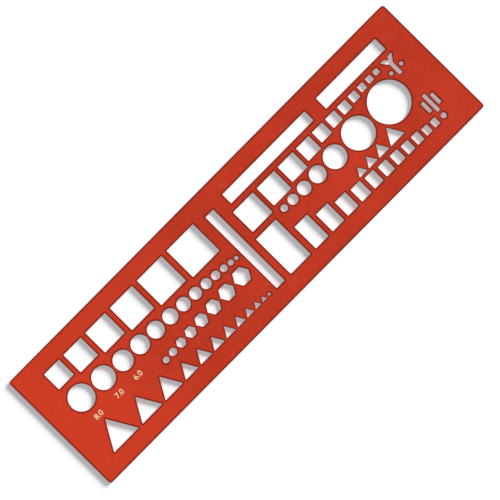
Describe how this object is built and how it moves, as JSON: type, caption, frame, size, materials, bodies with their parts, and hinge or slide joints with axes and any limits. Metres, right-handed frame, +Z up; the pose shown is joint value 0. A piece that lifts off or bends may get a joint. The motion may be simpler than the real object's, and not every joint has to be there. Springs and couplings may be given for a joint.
{
  "type": "map symbol template",
  "caption": "Thin rectangular plastic drawing template pierced by rows of graded squares, circles, hexagons, triangles and rectangles, with slots and small map symbols.",
  "frame": {"origin": "middle of the lower face, which rests on the drawing", "axes": "+X along the sheet from the end with the small first squares to the end with the forked opening, +Y across it towards the edge with the squares and level slots, +Z up out of the upper face"},
  "size_m": [0.1566, 0.0424, 0.0012],
  "materials": {
    "sheet_plastic": "smooth satin orange-red plastic sheet, solid colour"
  },
  "bodies": {
    "root": {"template_sheet": "sheet_plastic"}
  },
  "joints": []
}
